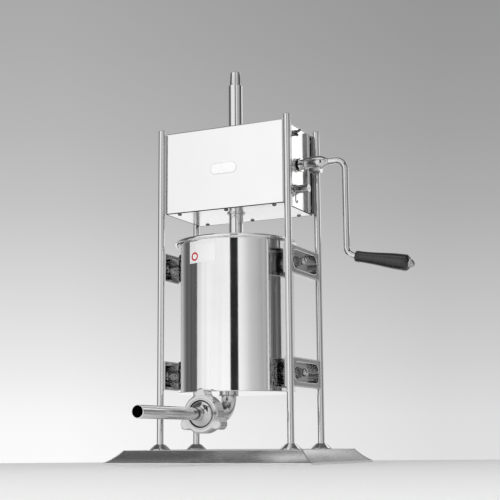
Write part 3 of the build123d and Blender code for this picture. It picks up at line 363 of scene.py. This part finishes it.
def swept(mesh, path, thick, closed=False, sides=8, wobble=0.0):
    """A round cord of radius thick, in mm, along a path of points in mm."""
    points = [Vector(p) for p in path]
    count = len(points)
    turn = 2 * math.pi / sides
    loops = []
    for index, point in enumerate(points):
        before = points[index - 1] if closed or index else point
        after = points[(index + 1) % count] if closed or index < count - 1 else point
        along = (after - before).normalized()
        lift = Vector((0, 0, 1)) if abs(along.z) < 0.9 else Vector((1, 0, 0))
        side = along.cross(lift).normalized()
        up = side.cross(along)
        grow = thick * ripple(index * 0.37, wobble)
        loops.append([
            (point + (side * math.cos(k * turn) + up * math.sin(k * turn)) * grow) * MM for k in range(sides)
        ])
    add_loops(mesh, loops, closed)


def rounded_loop(corner_points, radius, steps=6):
    """Round the corners of a closed flat loop of points in mm."""
    count = len(corner_points)
    loop = []
    for index in range(count):
        here = Vector(corner_points[index])
        back = (Vector(corner_points[index - 1]) - here).normalized()
        on = (Vector(corner_points[(index + 1) % count]) - here).normalized()
        for step in range(steps + 1):
            t = step / steps
            start, end = here + back * radius, here + on * radius
            loop.append(start * (1 - t) ** 2 + here * 2 * t * (1 - t) + end * t ** 2)
    return loop


def upright_line(x, y, low, high, steps):
    """Evenly spaced points up a vertical line."""
    return [Vector((x, y, low)).lerp(Vector((x, y, high)), k / steps) for k in range(steps + 1)]


def cord_piece(name, cords, body, material):
    """One piece made of cords, each given as the path and the options of swept()."""
    mesh = bmesh.new()
    for path, options in cords:
        swept(mesh, path, **options)
    finish_piece(name, mesh, body, material)


def ring_piece(name, rings, body, material):
    """One piece made of rings, each given as the arguments of ring()."""
    mesh = bmesh.new()
    for values in rings:
        ring(mesh, *values)
    finish_piece(name, mesh, body, material)


# ---------------------------------------------------------------- pieces, in mm
ALONG_X = (1, 0, 0)
ALONG_Y = (0, 1, 0)
UP = (0, 0, 1)
SIDES = (-1, 1)
CORNERS = ((-1, -1), (1, -1), (1, 1), (-1, 1))
COLUMN_SPOTS = [(x, y) for x in (-133.0, 133.0) for y in (-71.5, 71.5)]
BARREL_Y = -15.5
MAIN_LINE = (5.0, 559.0)                 # Y and Z of the main shaft
DRIVE_LINE = (-23.87, 504.71)            # Y and Z of the drive shaft
SPOUT = (0.0, 88.0)                      # X and Z of the outlet's axis

BASE_TOP = (178.0, 125.0, 25.0)          # half width, half depth and height of the flat top
BASE_FOOT = (206.0, 153.0, 2.0)          # the same for the lip
SKIRT_REACH = 0.95                       # the corner seams stop short of the lip
SKIRT_SAG = 2.4                          # depth of the skirt's hollow below a straight slope
SKIRT_STEPS = 24
SEAM_INSET, SEAM_RAISE = 0.1, 0.2
SEAM_THICK = 0.8
EDGE_INSET, EDGE_DROP, EDGE_THICK = 0.2, 0.35, 0.6
LIP_INSET, LIP_RAISE, LIP_THICK = 1.2, 0.3, 1.15
BASE_ROUND = 1.5
FOOT_WELDS = ((35.0, 7.1, 1.0, 96, 0.18), (25.2, 19.0, 0.9, 120, 0.2))   # height, then as in ring()


def skirt_corner(x_side, y_side):
    """The hollow line where two skirt faces of the base meet, slightly above the sheet."""
    path = []
    for k in range(SKIRT_STEPS + 1):
        t = SKIRT_REACH * k / SKIRT_STEPS
        drop = BASE_TOP[2] + (BASE_FOOT[2] - BASE_TOP[2]) * t - 4 * SKIRT_SAG * t * (1 - t)
        x = BASE_TOP[0] + (BASE_FOOT[0] - BASE_TOP[0]) * t
        y = BASE_TOP[1] + (BASE_FOOT[1] - BASE_TOP[1]) * t
        path.append((x_side * (x - SEAM_INSET), y_side * (y - SEAM_INSET), drop + SEAM_RAISE))
    return path


def base_details():
    ring_piece("foot_welds", [((x, y, height), UP, *weld) for x, y in COLUMN_SPOTS
                              for height, *weld in FOOT_WELDS], "frame", "weld")
    seam = {"thick": SEAM_THICK, "wobble": 0.15}
    cord_piece("base_corner_seams", [(skirt_corner(sx, sy), seam) for sx in SIDES for sy in SIDES],
               "frame", "weld")
    edge = [(sx * (BASE_TOP[0] - EDGE_INSET), sy * (BASE_TOP[1] - EDGE_INSET), BASE_TOP[2] - EDGE_DROP)
            for sx, sy in CORNERS]
    lip = [(sx * (BASE_FOOT[0] - LIP_INSET), sy * (BASE_FOOT[1] - LIP_INSET), BASE_FOOT[2] + LIP_RAISE)
           for sx, sy in CORNERS]
    cord_piece("base_rolled_edges",
               [(rounded_loop(edge, BASE_ROUND), {"thick": EDGE_THICK, "closed": True}),
                (rounded_loop(lip, BASE_ROUND), {"thick": LIP_THICK, "closed": True})],
               "frame", "highlight_edge")


HEAD = (123.0, 68.5, 472.5, 632.5)       # half width, half depth, bottom, top
# painted shadow: black lines along the head's bottom edge and round each side plate's edge
SHADOW_LINE_OUT, SHADOW_LINE_RAISE, SHADOW_LINE_THICK = 0.1, 0.6, 0.8
SHADOW_LINE_ROUND = 1.0
COVER_LINE_OUT = 0.05
COVER_LINE_IN, COVER_LINE_DOWN = 1.1, 1.2
COVER_LINE_THICK = 0.45
COVER_LINE_ROUND = 2.0
# painted shade: dark strips set into the strips' grooves
GROOVE_SHADE_X, GROOVE_X, GROOVE_WAVE = 125.3, 125.9, 0.15
GROOVE_SHADE_Y, GROOVE_Y = (50.9, 59.1), (51.2, 58.8)
GROOVE_SHADE_FOOT, GROOVE_SHADE_SHORTER = 3.0, 9.0   # start above the head's bottom, and how much shorter it is
GROOVE_SHADE_STEPS = 40
PLATE_HALF = (26.2, 10.2)
PLATE_OUT, PLATE_Z = 1.0, 551.5
PLATE_ROUND, PLATE_RIM = 9.5, 0.28
DUST_RINGS = ((MAIN_LINE, 11.6), (DRIVE_LINE, 11.8))
DUST_RING_OUT, DUST_RING_BEAD = 0.2, 0.8


def groove_shade(mesh, side, y_side):
    """A dark strip of painted shade in one groove of a strip, with a slightly wavy face."""
    low, high = HEAD[2:]
    loops = []
    for k in range(GROOVE_SHADE_STEPS + 1):
        z = low + GROOVE_SHADE_FOOT + (high - low - GROOVE_SHADE_SHORTER) * k / GROOVE_SHADE_STEPS
        groove = GROOVE_X + GROOVE_WAVE * math.sin(k)
        loops.append([Vector(p) * MM for p in (
            (side * GROOVE_SHADE_X, y_side * GROOVE_SHADE_Y[0], z), (side * groove, y_side * GROOVE_Y[0], z),
            (side * groove, y_side * GROOVE_Y[1], z), (side * GROOVE_SHADE_X, y_side * GROOVE_SHADE_Y[1], z))])
    add_loops(mesh, loops, False)


def head_details():
    x, y, low, high = HEAD
    # painted shadow: black cords where the head's seams show as shadow gaps
    bottom = [(sx * (x + SHADOW_LINE_OUT), sy * (y + SHADOW_LINE_OUT), low + SHADOW_LINE_RAISE) for sx, sy in CORNERS]
    cords = [(rounded_loop(bottom, SHADOW_LINE_ROUND), {"thick": SHADOW_LINE_THICK, "closed": True})]
    top = high - COVER_LINE_DOWN
    for side in SIDES:
        cover_line = [(side * (x + COVER_LINE_OUT), sy * (y - COVER_LINE_IN), z)
                      for sy, z in ((-1, low), (-1, top), (1, top), (1, low))]
        cords.append((rounded_loop(cover_line, COVER_LINE_ROUND),
                      {"thick": COVER_LINE_THICK, "closed": True}))
    cord_piece("head_shadow_seal", cords, "frame", "black_rubber_and_shade")
    mesh = bmesh.new()
    for side in SIDES:
        for y_side in SIDES:
            groove_shade(mesh, side, y_side)
    finish_piece("strip_groove_shade", mesh, "frame", "black_rubber_and_shade")
    plate = [(sx * PLATE_HALF[0], -y - PLATE_OUT, PLATE_Z + sz * PLATE_HALF[1]) for sx, sz in CORNERS]
    rim = (rounded_loop(plate, PLATE_ROUND, 12), {"thick": PLATE_RIM, "closed": True})
    cord_piece("name_plate_rim", [rim], "frame", "polished_rod")
    ring_piece("shaft_dust_rings", [((x + DUST_RING_OUT, *line), ALONG_X, radius, DUST_RING_BEAD)
                                    for line, radius in DUST_RINGS],
               "frame", "black_rubber_and_shade")


BARREL_OUTER = 110.0
BARREL_BEADS = ((129.4, BARREL_OUTER + 0.1, 0.8), (406.6, BARREL_OUTER, 0.45))   # height, radius, bead
BARREL_SEAM = (130.5, 406.5)             # foot and top of the side weld
BARREL_SEAM_THICK, BARREL_SEAM_STEPS = 0.6, 120
BARREL_STEPS = 180
STUD_HEIGHTS = (163.5, 369.5)
PAD_WELD = (122.6, 13.0, 0.9, 96, 0.2)   # X, then as in ring()
BRACKET_WELD_OUT, BRACKET_WELD_IN = 2.6, 6.3
BRACKET_WELD_HALF, BRACKET_WELD_THICK, BRACKET_WELD_STEPS = 24, 0.9, 40
SLOT_RIM_X, SLOT_HALF, SLOT_RADIUS = 135.8, 41.0, 18.4
SLOT_RIM_THICK, SLOT_RIM_STEPS = 0.8, 48
BAND_X, BAND_HALF = 135.7, (64.5, 25.2)
BAND_THICK, BAND_ROUND = 0.5, 1.0
STUD_RINGS = ((127.6, 10.4), (129.8, 8.2), (135.7, 7.6))   # X and radius
STUD_RING_BEAD = 0.35


def slot_rim(side, height):
    """The edge of a bracket's long slot with round ends."""
    rim = []
    for k in range(SLOT_RIM_STEPS):
        angle = 2 * math.pi * k / SLOT_RIM_STEPS
        end = SLOT_HALF if math.cos(angle) > 0 else -SLOT_HALF
        rim.append((side * SLOT_RIM_X, end + SLOT_RADIUS * math.cos(angle),
                    height + SLOT_RADIUS * math.sin(angle)))
    return rim


def barrel_details():
    ring_piece("barrel_edge_beads", [((0.0, BARREL_Y, height), UP, radius, bead, BARREL_STEPS)
                                     for height, radius, bead in BARREL_BEADS],
               "frame", "barrel_mirror")
    seam = upright_line(0, BARREL_Y + BARREL_OUTER, *BARREL_SEAM, BARREL_SEAM_STEPS)
    cord_piece("barrel_side_weld", [(seam, {"thick": BARREL_SEAM_THICK, "wobble": 0.2})],
               "frame", "weld")
    studs = [(side, height) for side in SIDES for height in STUD_HEIGHTS]
    pad_x, *pad_weld = PAD_WELD
    ring_piece("stud_pad_welds", [((side * pad_x, BARREL_Y, height), (side, 0, 0), *pad_weld)
                                  for side, height in studs], "frame", "weld")
    bead = {"thick": BRACKET_WELD_THICK, "wobble": 0.25}
    cords = []
    for x, y in COLUMN_SPOTS:
        weld_x = x + math.copysign(BRACKET_WELD_OUT, x)
        weld_y = y - math.copysign(BRACKET_WELD_IN, y)
        for height in STUD_HEIGHTS:
            ends = (height - BRACKET_WELD_HALF, height + BRACKET_WELD_HALF)
            cords.append((upright_line(weld_x, weld_y, *ends, BRACKET_WELD_STEPS), bead))
    cord_piece("bracket_welds", cords, "frame", "weld")
    cords = []
    for side, height in studs:
        cords.append((slot_rim(side, height), {"thick": SLOT_RIM_THICK, "closed": True}))
        band = [(side * BAND_X, sy * BAND_HALF[0], height + sz * BAND_HALF[1]) for sy, sz in CORNERS]
        cords.append((rounded_loop(band, BAND_ROUND), {"thick": BAND_THICK, "closed": True}))
    cord_piece("bracket_pressed_rims", cords, "frame", "polished_rod")
    ring_piece("stud_edge_rings", [((side * x, BARREL_Y, height), (side, 0, 0), radius, STUD_RING_BEAD)
                                   for side, height in studs for x, radius in STUD_RINGS],
               "frame", "fastener")


# Y, radius and bead of the rings round the outlet's axis
NOZZLE_RINGS = ((-373.35, 10.6, 0.62), (-173.5, 11.1, 0.5))
RING_NUT_RINGS = ((-162.0, 26.6, 0.9), (-162.0, 31.6, 0.4))
# painted shade: a black ring standing for the shaded recess round the flange inside the ring nut
RECESS_SHADE_RINGS = ((-158.7, 24.2, 0.9),)
OUTLET_STEPS = 96
ELBOW_WELD = ((0.0, -50.0, 123.6), UP, 17.6, 0.8, OUTLET_STEPS, 0.15)


def outlet_details():
    x, z = SPOUT
    for name, rings, body, material, slot in (
            ("nozzle_mouth_roll", NOZZLE_RINGS, "frame", "polished_tube", "polished_steel"),
            ("ring_nut_beads", RING_NUT_RINGS, "nut", "cast", "cast_steel"),
            # painted shade: a black ring in the ring nut's recess
            ("nozzle_recess_shade", RECESS_SHADE_RINGS, "frame", "black_rubber_and_shade", "black_plastic")):
        ring_piece(name, [((x, y, z), ALONG_Y, radius, bead, OUTLET_STEPS) for y, radius, bead in rings],
                   body, material)
    ring_piece("elbow_welds", [ELBOW_WELD], "frame", "weld")


# X, then as in ring(), for the rings round the two shafts
SOCKET_RINGS = ((184.6, 6.4, 0.8, 72, 0.15), (138.9, 11.3, 0.5), (145.0, 12.55, 0.45))
COLLAR_RINGS = ((125.2, 9.6, 0.4), (127.9, 13.2, 0.4), (133.5, 9.5, 0.4), (136.5, 9.5, 0.4))
DRIVE_END_RINGS = ((134.3, 7.3, 0.45), (155.4, 7.3, 0.45))
GRIP_TILT = math.radians(11.5)           # below level, outwards
GRIP_CORNER = Vector((217.5, 5.0, 378.0))
GRIP_RINGS = ((20.4, 10.0), (23.0, 10.2), (25.6, 10.3), (111.5, 14.9))   # distance and radius
GRIP_RING_BEAD = 0.45


def crank_details():
    for name, rings, line, body, material, slot in (
            ("socket_rings", SOCKET_RINGS, MAIN_LINE, "main_drive", "cast", "cast_steel"),
            ("collar_grooves", COLLAR_RINGS, MAIN_LINE, "main_drive", "black_rubber_and_shade", "black_plastic"),
            ("drive_end_rings", DRIVE_END_RINGS, DRIVE_LINE, "low_drive", "gear", "gear_steel")):
        ring_piece(name, [((x, *line), ALONG_X, *values) for x, *values in rings], body, material)
    line = Vector((math.cos(GRIP_TILT), 0, -math.sin(GRIP_TILT)))
    ring_piece("grip_moulded_rings", [(GRIP_CORNER + line * along, line, radius, GRIP_RING_BEAD)
                                      for along, radius in GRIP_RINGS],
               "grip", "black_grip")


# height, then as in ring(), for the rings round the barrel's axis that ride on the piston
PISTON_RINGS = {
    "piston_seal_lips": ("silicone", "silicone", ((259.5, 108.1, 0.35, 180), (264.5, 108.1, 0.35, 180))),
    "piston_hub_weld": ("weld", "sheet_steel", ((285.0, 14.6, 0.9, 72, 0.15),)),
    "rod_top_rings": ("polished_rod", "polished_steel",
                      ((727.2, 12.9, 0.4), (729.6, 11.5, 0.35), (753.0, 9.9, 0.3))),
}


def piston_details():
    for name, (material, slot, rings) in PISTON_RINGS.items():
        ring_piece(name, [((0.0, BARREL_Y, height), UP, *values) for height, *values in rings],
                   "piston", material)


def build_pieces():
    base_details()
    head_details()
    barrel_details()
    outlet_details()
    crank_details()
    piston_details()


# ---------------------------------------------------------------- studio
def set_stops(ramp, stops):
    """Fill a colour ramp of two stops with (position, grey); the first two must be its ends."""
    for index, (position, value) in enumerate(stops):
        stop = ramp.elements[index] if index < 2 else ramp.elements.new(position)
        stop.position = position
        stop.color = grey(value)


def facing(nodes, place, way):
    """How far the direction at place points the same way, as a dot product."""
    node = nodes.add("ShaderNodeVectorMath", operation="DOT_PRODUCT")
    nodes.link(place, node.inputs[0])
    node.inputs[1].default_value = way
    return node.outputs["Value"]


def world_light():
    """A backdrop graded upwards and to the right ahead of the camera, and a dim room elsewhere."""
    world = bpy.data.worlds.new("studio")
    bpy.context.scene.world = world
    world.use_nodes = True
    nodes = Nodes(world.node_tree)
    place = nodes.add("ShaderNodeTexCoord").outputs["Generated"]
    split = nodes.add("ShaderNodeSeparateXYZ")
    nodes.link(place, split.inputs["Vector"])
    rise = nodes.add("ShaderNodeValToRGB")
    nodes.link(nodes.remap(split.outputs["Z"], *BACKDROP_RISE, 0.0, 1.0), rise.inputs["Fac"])
    set_stops(rise.color_ramp, BACKDROP_TONES)
    shade = nodes.remap(facing(nodes, place, VIEW_RIGHT), *BACKDROP_ACROSS)
    backdrop = nodes.add("ShaderNodeVectorMath", operation="SCALE")
    nodes.link(rise.outputs["Color"], backdrop.inputs[0])
    nodes.link(shade, backdrop.inputs["Scale"])
    ahead = facing(nodes, place, VIEW_AHEAD)
    upright = nodes.add("ShaderNodeMapping")
    nodes.link(place, upright.inputs["Vector"])
    upright.inputs["Scale"].default_value = STREAK_SCALE
    streaks = nodes.noise(upright.outputs["Vector"], 1.0, 3.0, 0.6)
    dark, bright = (grey(ROOM_SIDES * factor) for factor in STREAK_TONES)
    sides = nodes.mix_colour(nodes.remap(streaks, 0.35, 0.65, 0.0, 1.0), dark, bright)
    room = nodes.mix_colour(nodes.remap(ahead, *ROOM_TURN, 0.0, 1.0), grey(ROOM_FRONT), sides)
    behind = nodes.remap(ahead, *BACKDROP_TURN, 0.0, 1.0)
    around = nodes.mix_colour(behind, room, backdrop.outputs["Vector"])
    seen = nodes.add("ShaderNodeLightPath").outputs["Is Camera Ray"]
    sky = nodes.add("ShaderNodeBackground")
    nodes.link(nodes.mix_colour(seen, around, backdrop.outputs["Vector"]), sky.inputs["Color"])
    output = nodes.add("ShaderNodeOutputWorld")
    nodes.link(sky.outputs["Background"], output.inputs["Surface"])


def softbox(name, azimuth, distance, height, size, radiance, fade=None, shown=True):
    """A rectangular light aimed at the part; azimuth counts from the camera, positive to its right.

    fade gives (position, factor) stops along the light's width, its two ends first.
    """
    turn = math.radians(azimuth)
    way = -VIEW_AHEAD * math.cos(turn) + VIEW_RIGHT * math.sin(turn)
    data = bpy.data.lights.new(name, "AREA")
    data.shape = "RECTANGLE"
    data.size, data.size_y = size
    data.energy = radiance * math.pi * size[0] * size[1]
    light = bpy.data.objects.new(name, data)
    bpy.context.scene.collection.objects.link(light)
    light.location = way * distance + Vector((0, 0, height))
    aim = Vector((0, 0, height)) - light.location if height < OVERHEAD else Vector((0, 0, -1))
    light.rotation_mode = "QUATERNION"
    light.rotation_quaternion = aim.to_track_quat("-Z", "Y")
    light.visible_glossy = shown
    if fade:
        data.use_nodes = True
        nodes = Nodes(data.node_tree)
        spot = nodes.add("ShaderNodeNewGeometry").outputs["Parametric"]
        split = nodes.add("ShaderNodeSeparateXYZ")
        nodes.link(spot, split.inputs["Vector"])
        stops = nodes.add("ShaderNodeValToRGB")
        nodes.link(split.outputs["X"], stops.inputs["Fac"])
        set_stops(stops.color_ramp, fade)
        glow = nodes.add("ShaderNodeEmission")
        nodes.link(stops.outputs["Color"], glow.inputs["Color"])
        output = nodes.add("ShaderNodeOutputLight")
        nodes.link(glow.outputs["Emission"], output.inputs["Surface"])


def build_lights():
    """Name, azimuth, distance, height, size, radiance and fade of each light."""
    softbox("key_left", -46, 1.7, 0.90, (2.34, 1.8), 0.98, ((0.0, 0.66), (1.0, 0.98), (0.45, 0.90)))
    softbox("key_right", 35.5, 1.8, 0.90, (2.25, 1.8), 0.98,
            ((0.0, 0.95), (1.0, 0.22), (0.15, 0.86), (0.35, 0.60), (0.6, 0.42)))
    softbox("rear_right", 129, 1.5, 1.15, (0.9, 0.95), 0.95)
    softbox("side_right", 103, 1.5, 0.50, (0.45, 1.0), 0.60)
    softbox("overhead", -8, 0.85, 1.9, (1.6, 1.3), 0.75)
    softbox("fill_top", 0, 0.0, 2.2, (2.4, 2.4), 1.3, shown=False)
    softbox("fill_front", -10, 2.4, 0.9, (2.0, 1.4), 2.2, shown=False)


def build_table():
    data = bpy.data.meshes.new("table_top")
    corners = [(-TABLE_WIDE, TABLE_FRONT), (TABLE_WIDE, TABLE_FRONT),
               (TABLE_WIDE, TABLE_BEHIND), (-TABLE_WIDE, TABLE_BEHIND)]
    points = [VIEW_RIGHT * x + VIEW_AHEAD * y for x, y in corners]
    data.from_pydata([p[:] for p in points], [], [(0, 1, 2, 3)])
    table = bpy.data.objects.new("table_top", data)
    bpy.context.scene.collection.objects.link(table)
    material, nodes, shader = new_material("table_paint")
    fleck = nodes.noise(nodes.coords(), 260.0, 3.0, 0.5)
    nodes.link(nodes.mix_colour(fleck, grey(0.80), grey(0.85)), shader.inputs["Base Color"])
    nodes.link(nodes.remap(fleck, *NOISE_SPAN, 0.5, 0.65), shader.inputs["Roughness"])
    data.materials.append(material)


def build_camera():
    scene = bpy.context.scene
    camera = bpy.data.objects.new("camera", bpy.data.cameras.new("camera"))
    scene.collection.objects.link(camera)
    camera.data.sensor_width = SENSOR
    camera.data.lens = CAMERA_LENS
    camera.location = CAMERA_PLACE
    turn = Matrix.Rotation(CAMERA_YAW, 4, "Z") @ Matrix.Rotation(math.pi / 2 + CAMERA_PITCH, 4, "X")
    camera.rotation_mode = "QUATERNION"
    camera.rotation_quaternion = (turn @ Matrix.Rotation(CAMERA_ROLL, 4, "Z")).to_quaternion()
    scene.camera = camera


def build_studio():
    bpy.context.scene.view_settings.view_transform = "Standard"
    world_light()
    build_lights()
    build_table()
    build_camera()


dress_cad()
build_pieces()
build_studio()
